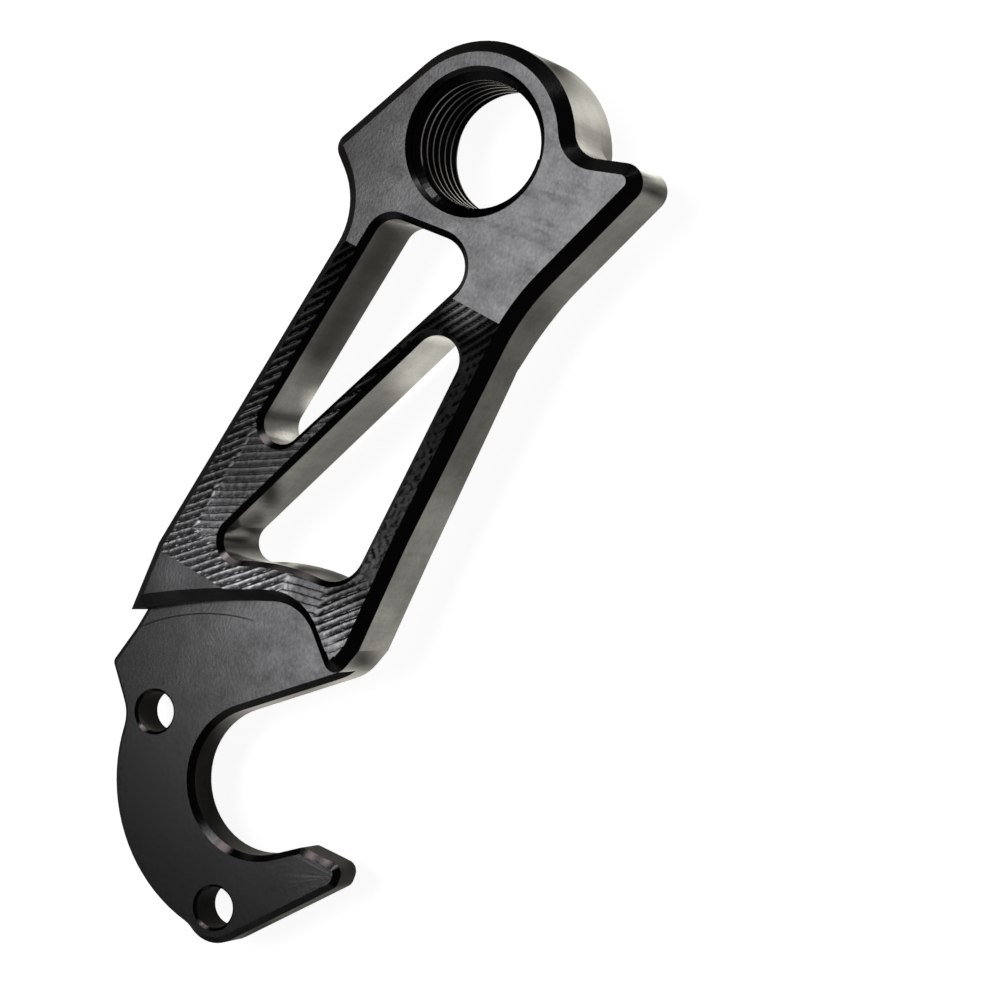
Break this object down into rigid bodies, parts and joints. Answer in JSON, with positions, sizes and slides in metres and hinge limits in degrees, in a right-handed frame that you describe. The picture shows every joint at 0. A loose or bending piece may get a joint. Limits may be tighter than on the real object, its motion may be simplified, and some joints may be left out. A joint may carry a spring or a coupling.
{
  "type": "bicycle derailleur hanger",
  "caption": "Machined derailleur hanger with a threaded eye, a two-window truss arm and a thinner plate with an open axle notch and two screw holes.",
  "frame": {"origin": "on the derailleur thread's axis, at the back of the round boss behind the eye", "axes": "+Z along the thread's axis, out of the visible face; -Y towards the axle notch; +X towards the spur"},
  "size_m": [0.0271, 0.068, 0.008],
  "materials": {
    "anodised_body": "milled aluminium, black anodised, satin"
  },
  "bodies": {
    "root": {"derailleur_hanger": "anodised_body"}
  },
  "joints": []
}
